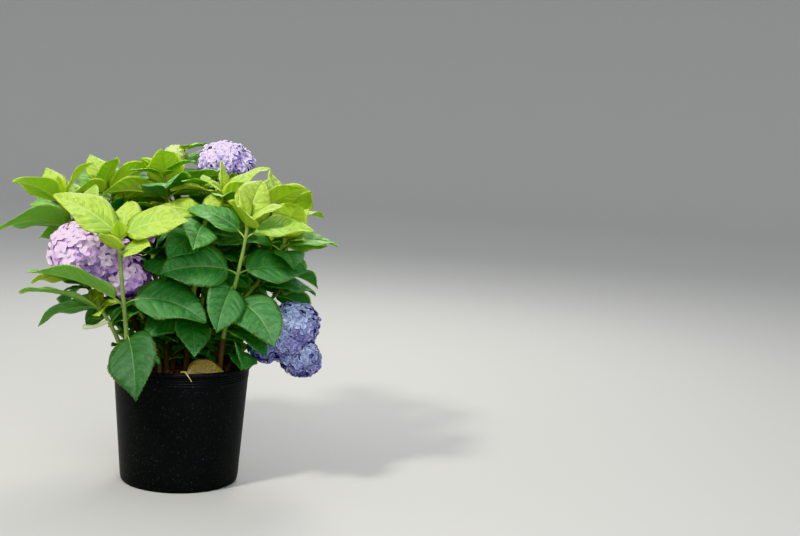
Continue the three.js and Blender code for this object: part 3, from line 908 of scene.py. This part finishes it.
def floret_places(lobes, spacing):
    """Places and outward directions of the florets on the outside of a bloom's joined lobes."""
    squash = np.array([1, 1, BLOOM_FLAT])
    places = []
    for i, (centre, radius) in enumerate(lobes):
        for way in fibonacci(int(4 * math.pi * radius ** 2 / spacing ** 2)):
            spot = centre + way * radius * squash
            others = [(np.linalg.norm((spot - other) / squash), reach)
                      for j, (other, reach) in enumerate(lobes) if j != i]
            inside = any(far < reach * 0.97 for far, reach in others)
            if inside or any(np.linalg.norm(spot - near) < NEAREST * spacing for near, _ in places):
                continue
            out = unit(way / squash)
            gap = min((far - reach for far, reach in others), default=LOBE_BLEND)
            places.append((spot + out * LOBE_BLEND / 4 * max(0, 1 - gap / LOBE_BLEND) ** 2, out))
    return places


# A sepal's grid and, as shares of its length, its width, start, rise, bend back (least and drawn part),
# raised sides, roll and waves, and how far two of the four lie above the others
SEPAL_ROWS = np.array([0.0, 0.16, 0.42, 0.68, 0.88, 1.0])
SEPAL_COLUMNS = np.array([-1.0, -0.5, 0.0, 0.5, 1.0])
SEPAL_WIDTH = 0.47
SEPAL_START = 0.04
SEPAL_RISE = 0.2
SEPAL_BACK = (0.18, 0.2)
SEPAL_CUP = 0.13
SEPAL_ROLL = 0.24
SEPAL_WAVE = 0.035
SEPAL_ABOVE = 0.09
EYE_SHARE = 0.13
SEPAL_TINTS = 4


def add_floret(heap, spot, way, size, draw, slots):
    """Four broad cupped sepals round a small eye; slots are for sepals, rims, throats and the eye."""
    turn = draw() * math.pi
    side = unit(np.cross(way, unit([0.31, 0.22, 0.92]) if abs(way[2]) < 0.9 else [1.0, 0.0, 0.0]))
    other = np.cross(way, side)
    tilt = unit(way + 0.6 * ((draw() - 0.5) * side + (draw() - 0.5) * other))
    side = unit(side - tilt * np.dot(side, tilt))
    other = np.cross(tilt, side)
    r, c = SEPAL_ROWS[:, None], SEPAL_COLUMNS[None, :]
    across = np.sin(np.pi * r ** 0.8).clip(0) ** 0.6
    looks = np.full((len(SEPAL_ROWS) - 1, len(SEPAL_COLUMNS) - 1), slots[0])
    looks[-1, :] = looks[1:, 0] = looks[1:, -1] = slots[1]
    looks[0, :] = slots[2]
    for k in range(4):
        heading = turn + k * math.pi / 2 + 0.2 * (draw() - 0.5)
        out = math.cos(heading) * side + math.sin(heading) * other
        left = -math.sin(heading) * side + math.cos(heading) * other
        length = size * (0.9 + 0.2 * draw())
        reach = length * (SEPAL_START + (1 - SEPAL_START) * r)
        lateral = SEPAL_WIDTH * length * across * c
        back = SEPAL_BACK[0] + SEPAL_BACK[1] * draw()
        cup = SEPAL_RISE * r - back * r ** 2 + SEPAL_CUP * np.abs(c) ** 1.5 * across
        roll = SEPAL_ROLL * (draw() - 0.5) * c * across
        wavy = SEPAL_WAVE * np.sin(6 * c + 7 * r + ROUND * draw()) * r
        lift = length * (cup + roll + wavy + (SEPAL_ABOVE if k % 2 else 0.0))
        corners = spot + reach[..., None] * out + lateral[..., None] * left + lift[..., None] * tilt
        heap.add(corners, grid_faces(len(SEPAL_ROWS), len(SEPAL_COLUMNS)), looks.ravel())
    ball = EYE_SHARE * size
    eye = spot + tilt * 0.08 * size
    corners = [eye + tilt * 1.5 * ball] + [eye + ball * around for around in (side, other, -side, -other)]
    heap.add(corners, [(0, 1, 2), (0, 2, 3), (0, 3, 4), (0, 4, 1)], slots[3])


# Sepal tints of each kind of bloom, from the sunlit side to the shaded one
BLOOM_TINTS = {
    "lilac_pink": [(0.8, 0.6, 0.82), (0.67, 0.43, 0.74), (0.53, 0.33, 0.67), (0.36, 0.23, 0.55)],
    "blue": [(0.24, 0.31, 0.52), (0.2, 0.24, 0.47), (0.18, 0.18, 0.41), (0.14, 0.14, 0.35)],
    "violet": [(0.68, 0.52, 0.79), (0.47, 0.35, 0.71), (0.31, 0.22, 0.6), (0.22, 0.14, 0.5)],
    "unripe": [(0.62, 0.72, 0.26), (0.5, 0.64, 0.18), (0.42, 0.56, 0.14), (0.34, 0.48, 0.12)],
}
BLOOM_KINDS = {3: "lilac_pink", 4: "blue", 9: "lilac_pink", 11: "violet", 13: "unripe", 17: "blue"}
# Length of a sepal and distance between florets
FLORET_SIZES = {"lilac_pink": (15.5, 20), "blue": (12.5, 14.6), "violet": (11.5, 14), "unripe": (4.6, 6.5)}
# How much paler the sepals' rims are, and the colours of the florets' eyes
RIM_PALER = {"lilac_pink": 0.24, "blue": 0.26, "violet": 0.6, "unripe": 0.2}
EYES = {"lilac_pink": (0.5, 0.3, 0.56), "blue": (0.5, 0.58, 0.8), "violet": (0.16, 0.1, 0.4),
        "unripe": (0.6, 0.66, 0.2)}
# The inside's colour as a share of the most shaded sepal tint: painted shade in the gaps between florets
CORE_SHADE = 0.9
THROAT_DARKER = 0.68
# The inside's share of a lobe's radius, and the side where the tints are lightest
CORE_SHARE = 0.92
SUNNY = unit([-0.45, -0.25, 0.85])


def bloom_materials(kind):
    made = []
    glow = dict(Subsurface_Weight=0.15, Subsurface_Radius=(0.8, 0.6, 1.0), Subsurface_Scale=0.001)
    for i, colour in enumerate(BLOOM_TINTS[kind]):
        rim = tuple(mix(channel, 1.0, RIM_PALER[kind] * (1 - 0.2 * i)) for channel in colour)
        throat = tuple(THROAT_DARKER * channel for channel in colour)
        for part, tint in (("sepal", colour), ("rim", rim), ("throat", throat)):
            made.append(principled(f"{part}_{kind}_{i}", tint, 0.6, (("noise", 420, 0.6),), 0.2,
                                   Specular_IOR_Level=0.3, **glow))
    made.append(principled(f"eye_{kind}", EYES[kind], 0.5))
    # The inside in painted shade
    core = tuple(CORE_SHADE * channel for channel in BLOOM_TINTS[kind][3])
    made.append(principled(f"stalks_{kind}", core, 0.8, (("noise", 300, 1.0),), 0.5))
    return made


def bloom_heap(shoot, kind, seed):
    draw = draw_from(seed)
    heap = Heap()
    size, spacing = FLORET_SIZES[kind]
    lobes = [(np.array(shoot["head"]) + lobe[:3], lobe[3]) for lobe in shoot["bloom"]]
    for spot, way in floret_places(lobes, spacing):
        light = np.dot(way, SUNNY) + 0.9 * (draw() - 0.5)
        tint = int(np.clip(1.9 - 1.9 * light, 0, SEPAL_TINTS - 1))
        lump = 0.22 * size * math.sin(spot[0] * 0.11 + spot[1] * 0.13) * math.cos(spot[2] * 0.12)
        lift = size * (0.42 * (draw() - 0.5) - 0.2) + lump
        slots = (3 * tint, 3 * tint + 1, 3 * tint + 2, 3 * SEPAL_TINTS)
        add_floret(heap, spot + way * lift, way, size * (0.84 + 0.3 * draw()), draw, slots)
    for centre, radius in lobes:
        add_ball(heap, centre, radius, 3 * SEPAL_TINTS + 1)
    return heap


def add_ball(heap, centre, radius, slot):
    """The lumpy inside of a bloom, where its florets' stalks crowd together, dark as painted shade in the
    gaps between florets.
    """
    rings, sides = 12, 20
    polar, turn = np.meshgrid(np.linspace(0.03, np.pi - 0.03, rings), 2 * np.pi * np.arange(sides) / sides,
                              indexing="ij")
    lumpy = radius * (CORE_SHARE + 0.04 * np.sin(5 * turn) * np.sin(7 * polar))
    ball = round_about(lumpy * np.sin(polar), turn, lumpy * np.cos(polar) * BLOOM_FLAT)
    heap.add(centre + ball, grid_faces(rings, sides, closed=True)[:, ::-1], slot)


# The shrub

def node_corners(name):
    """The corners of a node of the part, in millimetres."""
    return np.array([vertex.co[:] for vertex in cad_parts[name].data.vertices]) / MM


# The bark's joints, where old leaves stood: distance, half their height and how far they stand out
JOINT_PITCH = 52
JOINT_HALF = 3.5
JOINT_OUT = 0.12


def add_cane(heap, points, end, draw):
    """The woody part of a shoot, with ridged bark and joints."""
    shares = np.linspace(-0.02, end, max(10, int(60 * end)))
    centre = along(points, shares)
    height = centre[:, 2]
    from_joint = (height + 60 * draw()) % JOINT_PITCH - JOINT_PITCH / 2
    joint = JOINT_OUT * np.exp(-(from_joint / JOINT_HALF) ** 2)
    radius = limb_radius(shares) * (1 + joint + 0.03 * np.sin(height * 0.9))
    tube(heap, centre, radius, 14, 0, lobed=0.05, blunt=False)


STALK_LOOKS = {"stalk_young": (0.36, 0.46, 0.1), "stalk_old": (0.2, 0.32, 0.08), "bud": (0.3, 0.42, 0.08)}
YOUNG_STALK, OLD_STALK, BUD = range(3)
# The size of the bud at a leafy shoot's head, and how deep it sits
HEAD_BUD = 3.2
HEAD_BUD_SUNK = 3
STEM_COLOURS = [(0.3, (0.17, 0.26, 0.07)), (0.62, (0.24, 0.33, 0.1)), (0.72, (0.2, 0.17, 0.08))]
# Bark colours over a noise, the bark's grain, darkened well below the bark's own tan brown as painted shade
# of the crown's inside
SHADED_BARK_COLOURS = [(0.3, (0.022, 0.015, 0.009)), (0.5, (0.066, 0.044, 0.026)), (0.7, (0.13, 0.095, 0.06))]


def grow_shrub(leaf_looks):
    masses = [f"foliage_{i + 1:02d}" for i in range(len(SHOOTS))]
    canes = [f"cane_{i + 1:02d}" for i in range(len(SHOOTS))]
    stalks, stems, bark = Heap(), Heap(), Heap()
    room = Room()
    leaves, axils = [], []
    for i, shoot in enumerate(SHOOTS):
        corners = node_corners(masses[i])
        points = path_points(shoot)
        room.take_limb(along(points, np.linspace(0, 1, 16)), CANE_RADIUS)
        for lobe in shoot.get("bloom", ()):
            room.balls.append((np.array(shoot["head"]) + lobe[:3], lobe[3]))
        for grown in leaves_of(shoot, points, SHOOT_SEED + SEED_STEP * i):
            leaf = standing(grown, corners)
            if leaf is not None:
                leaves.append(leaf)
                room.take(*skeleton(leaf))
            if grown["kind"] == "pair" and "pairs" in shoot:
                axils.append(leaf or grown)
        shares = np.linspace(shoot["start"], 1, 30)
        tube(stems, along(points, shares), limb_radius(shares), 12, 0)
        add_cane(bark, points, shoot["start"], draw_from(SHOOT_SEED + SEED_STEP * i + 11))
        if "bloom" in shoot:
            kind = BLOOM_KINDS[i]
            bloom = bloom_heap(shoot, kind, SHOOT_SEED + SEED_STEP * i + 23)
            piece(f"bloom_{i + 1:02d}", bloom, bloom_materials(kind), [masses[i]])
        else:
            add_bud(stalks, points[3] - UP * HEAD_BUD_SUNK, 0, HEAD_BUD, BUD)
    leaves += low_leaves([shoot for shoot in SHOOTS if "pairs" in shoot], room)
    for way, kept in side_twigs(axils, room):
        tube(stems, way, np.linspace(TWIG_RADIUS * 1.25, TWIG_RADIUS, len(way)), 8, 0)
        leaves += kept
    draw = draw_from(SHOOT_SEED)
    leaf_heaps = [Heap() for _ in range(LEAF_PIECES)]
    for i, leaf in enumerate(leaves):
        add_blade(leaf_heaps[i % LEAF_PIECES], leaf, draw, TINT_SLOTS[tint_of(leaf, draw)])
        add_stalk(stalks, leaf, YOUNG_STALK if leaf["kind"] in ROSETTE_TINTS else OLD_STALK)
        if leaf["kind"] == "pair":
            add_bud(stalks, leaf["root"], leaf["azimuth"], 1.6 + draw(), BUD)
    for i, heap in enumerate(leaf_heaps):
        piece(f"leaves_{i + 1}", heap, leaf_looks, masses[i::LEAF_PIECES])
    stalk_looks = [principled(*look, 0.45, (("noise", 400, 0.5),), 0.2) for look in STALK_LOOKS.items()]
    piece("stalks", stalks, stalk_looks, masses)
    cut_stub(stems)
    green = patterned("stem_green", STEM_COLOURS, 60, 0.5, stretch=(1, 1, 0.3), bump=(("noise", 300, 0.6),))
    pith = principled("cut_pith", (0.62, 0.66, 0.4), 0.7, (("noise", 600, 1.0),), 0.4)
    piece("stems", stems, [green, pith], masses)
    # The canes' bark, in painted shade
    brown = patterned("cane_bark", SHADED_BARK_COLOURS, 45, 0.85, stretch=(1, 1, 0.16),
                      bump=(("noise", 500, 1.0), ("noise", 120, 0.8)), bump_strength=0.6)
    piece("canes", bark, [brown], canes)


# The stub of a pruned side shoot, on the low shoot at the left: where it starts, how far it goes and sags
STUB_SHARE = 0.71
STUB_REACH = (-47, -4, -12)
STUB_SAG = 5
STUB_RADIUS = 4.4


def cut_stub(heap):
    start = along(path_points(SHOOTS[5]), STUB_SHARE)
    end = start + np.array(STUB_REACH)
    shares = np.array([0, 0.3, 0.6, 0.9, 1.0])
    sag = UP * STUB_SAG * np.sin(np.pi * shares)[:, None]
    radii = STUB_RADIUS * np.array([0.9, 0.86, 0.9, 1.1, 1.12])
    tube(heap, mix(start, end, shares[:, None]) - sag, radii, 12, 1)


# The spent leaf's stalk trails over the lip
FALLEN_STALK = ((8, -112, 230), (6, -130, 242.5), (8, -139, 244.6), (12, -142.6, 240), (19, -143.2, 229))
FALLEN_STALK_RADIUS = 1.2


def fallen_leaf(looks):
    """The spent leaf on the soil, where the part has it."""
    heap = Heap()
    draw = draw_from(977)
    leaf = dict(FALLEN, root=np.array([*FALLEN["at"], 0.0]), kind="spent")
    corners = node_corners("fallen_leaf")
    tip = midrib(leaf, (1 + PETIOLE) * leaf["length"])[0]
    level = np.abs(corners[:, :2] - tip[:2]).sum(1)
    leaf["root"][2] = corners[level.argmin()][2] - tip[2]
    add_blade(heap, leaf, draw, 0)
    add_stalk(heap, leaf, VEIN)
    foot = midrib(leaf, PETIOLE * leaf["length"])[0]
    tube(heap, np.array([foot, *FALLEN_STALK]), FALLEN_STALK_RADIUS, 7, VEIN)
    piece("spent_leaf", heap, looks, ["fallen_leaf"])


# Pot and soil

def inner_radius(z):
    return FOOT_RADIUS + (LIP_RADIUS - LIP_WIDTH - FOOT_RADIUS) * z / POT_HEIGHT - POT_WALL


def turned(heap, profile, sides, slot):
    """A profile of (radius, height) turned round the upright axis."""
    radius, height = np.array(profile, float).T[..., None]
    rings = round_about(radius, 2 * np.pi * np.arange(sides) / sides, height)
    heap.add(rings, grid_faces(len(profile), sides, closed=True), slot)


# Rings round the wall below the lip
RING_COUNT = 4
RING_PITCH = 5.2
RING_DEPTH = 0.7


POT_DUST = [(0.3, (0.003, 0.0034, 0.0038)), (0.63, (0.0045, 0.005, 0.0056)), (0.72, (0.06, 0.065, 0.07))]


def outer_radius(z):
    return inner_radius(z) + POT_WALL


def pot():
    """The pot: its flat underside, rounded foot, rings below the lip, lip and inside."""
    lip_foot = POT_HEIGHT - LIP_HEIGHT
    band_foot = lip_foot - RING_COUNT * RING_PITCH
    profile = [(0.01, 0), (40, 0), (FOOT_RADIUS - FOOT_ROUND - 3, 0)]
    profile += [(FOOT_RADIUS - FOOT_ROUND * (1 - math.sin(a)), FOOT_ROUND * (1 - math.cos(a)))
                for a in np.linspace(0, math.pi / 2, 7)]
    profile += [(outer_radius(z), z) for z in np.linspace(FOOT_ROUND + 4, band_foot - 2, 14)]
    for z in np.arange(band_foot, lip_foot - 0.5, RING_PITCH / 6):
        ripple = 0.5 - 0.5 * math.cos(2 * math.pi * (z - band_foot) / RING_PITCH)
        profile.append((outer_radius(z) + RING_DEPTH * ripple, z))
    profile += [
        (outer_radius(lip_foot), lip_foot),
        (LIP_RADIUS - 1.6, lip_foot + 0.2),
        (LIP_RADIUS - 0.6, lip_foot + 1.2),
        (LIP_RADIUS, lip_foot + 4),
        (LIP_RADIUS, POT_HEIGHT - 2),
        (LIP_RADIUS - 0.6, POT_HEIGHT - 0.6),
        (LIP_RADIUS - 2, POT_HEIGHT),
        (LIP_RADIUS - 5.4, POT_HEIGHT - 0.2),
        (inner_radius(POT_HEIGHT), POT_HEIGHT - 1.4),
    ]
    profile += [(inner_radius(z), z) for z in (POT_HEIGHT - 8, SOIL_TOP, 100, POT_FLOOR)]
    profile.append((0.01, POT_FLOOR))
    heap = Heap()
    turned(heap, profile, 128, 0)
    look = patterned("pot_plastic", POT_DUST, 330, 0.5, detail=2, bump_strength=0.25,
                     bump=(("noise", 320, 0.5), ("noise", 60, 0.7)), Specular_IOR_Level=0.3)
    piece("nursery_pot", heap, [look], ["pot"])


# Loose chips: how many, half their edges' lengths at least, what is drawn on top, and their colours
CHIPS = 1500
CHIP_LEAST = (3, 1.8, 0.9)
CHIP_MORE = (8, 3.2, 1.5)
CHIP_LOOKS = {"dark": (0.03, 0.018, 0.012), "brown": (0.075, 0.042, 0.025), "pale": (0.15, 0.1, 0.065)}


def soil():
    """Bark mix: a rough bed and loose chips on it."""
    heap = Heap()
    draw = draw_from(5503)
    rings, sides = 22, 72
    radius = np.linspace(0.5, inner_radius(SOIL_TOP) - 0.2, rings)
    angle = 2 * np.pi * np.arange(sides) / sides
    r, a = np.meshgrid(radius, angle, indexing="ij")
    x, y = r * np.cos(a), r * np.sin(a)
    rough = 1.6 * np.sin(x * 0.21 + 1) * np.sin(y * 0.19) + 0.9 * np.sin(x * 0.55) * np.sin(y * 0.61 + 2)
    z = SOIL_TOP + 0.5 + rough - 5 * (r / radius[-1]) ** 8
    heap.add(np.stack([x, y, z], -1), grid_faces(rings, sides, closed=True), 0)
    cube = np.array([(x, y, z) for x in (-1, 1) for y in (-1, 1) for z in (-1, 1)], float)
    cube_faces = [(0, 1, 3, 2), (4, 6, 7, 5), (0, 4, 5, 1), (2, 3, 7, 6), (0, 2, 6, 4), (1, 5, 7, 3)]
    for _ in range(CHIPS):
        distance = (inner_radius(SOIL_TOP) - 8) * math.sqrt(draw())
        heading = draw() * 2 * math.pi
        size = CHIP_LEAST + np.array(CHIP_MORE) * [draw() ** 2, draw(), draw()]
        ragged = cube * size * (1 + 0.5 * (np.array([draw() for _ in range(24)]).reshape(8, 3) - 0.5))
        turn = Matrix.Rotation(draw() * ROUND, 3, "Z") @ Matrix.Rotation((draw() - 0.5) * 0.9, 3, "X")
        turn = turn @ Matrix.Rotation((draw() - 0.5) * 0.9, 3, "Y")
        spot = (distance * math.cos(heading), distance * math.sin(heading), SOIL_TOP + 1.5 + 3.5 * draw())
        heap.add(ragged @ np.array(turn).T + spot, cube_faces, 1 + int(len(CHIP_LOOKS) * draw()))
    looks = [patterned("mix_bed", [(0.3, (0.012, 0.008, 0.005)), (0.7, (0.04, 0.025, 0.016))], 90, 0.95)]
    for name, colour in CHIP_LOOKS.items():
        looks.append(principled(f"chip_{name}", colour, 0.9, (("noise", 400, 1.0),), 0.5))
    piece("bark_mix", heap, looks, ["soil"])


# Stage

# Each light's place, what it looks at, its size, its power and its colour
LIGHTS = {
    "key": ((-1.5, -1.5, 2.7), (0, 0, 0.4), 0.4, 90, (1.0, 0.97, 0.9)),
    "fill": ((0.6, -3.2, 1.7), (0, 0, 0.3), 2.0, 62, (0.97, 0.98, 1.0)),
    "back": ((0.6, 2.0, 2.2), (0, 0, 0.5), 1.2, 50, (1.0, 0.98, 0.92)),
}
SKY = (0.86, 0.9, 0.95)
SKY_STRENGTH = 0.9


def area_light(name, place, target, size, power, colour):
    light = bpy.data.lights.new(name, "AREA")
    light.shape = "DISK"
    light.size = size
    light.energy = power
    light.color = colour
    thing = added(name, light)
    thing.location = place
    thing.rotation_euler = (Vector(target) - Vector(place)).to_track_quat("-Z", "Y").to_euler()


# The photograph's camera, worked out from the pot's lip and foot
CAMERA_DISTANCE = 2.972
CAMERA_HEIGHT = 0.8505
CAMERA_YAW = 8.252
CAMERA_PITCH = 7.810
CAMERA_ROLL = 2.665
CAMERA_LENS = 67.5
CAMERA_SENSOR = 36


def camera():
    """The camera looks along +Y, turned right by its yaw, down by its pitch and then rolled."""
    yaw, pitch, roll = (math.radians(angle) for angle in (CAMERA_YAW, CAMERA_PITCH, CAMERA_ROLL))
    data = bpy.data.cameras.new("camera")
    data.lens = CAMERA_LENS
    data.sensor_width = CAMERA_SENSOR
    thing = added("camera", data)
    thing.matrix_world = (Matrix.Translation((0, -CAMERA_DISTANCE, CAMERA_HEIGHT))
                          @ Matrix.Rotation(-yaw, 4, "Z") @ Matrix.Rotation(math.pi / 2 - pitch, 4, "X")
                          @ Matrix.Rotation(roll, 4, "Z"))
    bpy.context.scene.camera = thing


# The round floor sweeps up into a low wall: its top, where the sweep starts, its radius and the wall's top
FLOOR_TOP = -0.5
SWEEP_START = 5500
SWEEP_RADIUS = 2600
WALL_TOP = 3400


def stage():
    heap = Heap()
    bend = np.linspace(0, math.pi / 2, 14)[1:]
    profile = [(0.01, FLOOR_TOP), (SWEEP_START, FLOOR_TOP)]
    profile += [(SWEEP_START + SWEEP_RADIUS * math.sin(a), FLOOR_TOP + SWEEP_RADIUS * (1 - math.cos(a)))
                for a in bend]
    profile.append((SWEEP_START + SWEEP_RADIUS, WALL_TOP))
    turned(heap, profile, 96, 0)
    floor = added("floor", heap.mesh("floor", [principled("floor", (0.42, 0.415, 0.4), 0.85)]))
    for name, light in LIGHTS.items():
        area_light(name, *light)
    world = bpy.data.worlds.new("world")
    world.use_nodes = True
    set_inputs(world.node_tree.nodes["Background"], Color=(*SKY, 1), Strength=SKY_STRENGTH)
    bpy.context.scene.world = world


bpy.context.scene.view_settings.view_transform = "Khronos PBR Neutral"
camera()
stage()
pot()
soil()
leaf_looks = leaf_materials()
grow_shrub(leaf_looks)
fallen_leaf(leaf_looks[TINT_SLOTS["spent"]:])
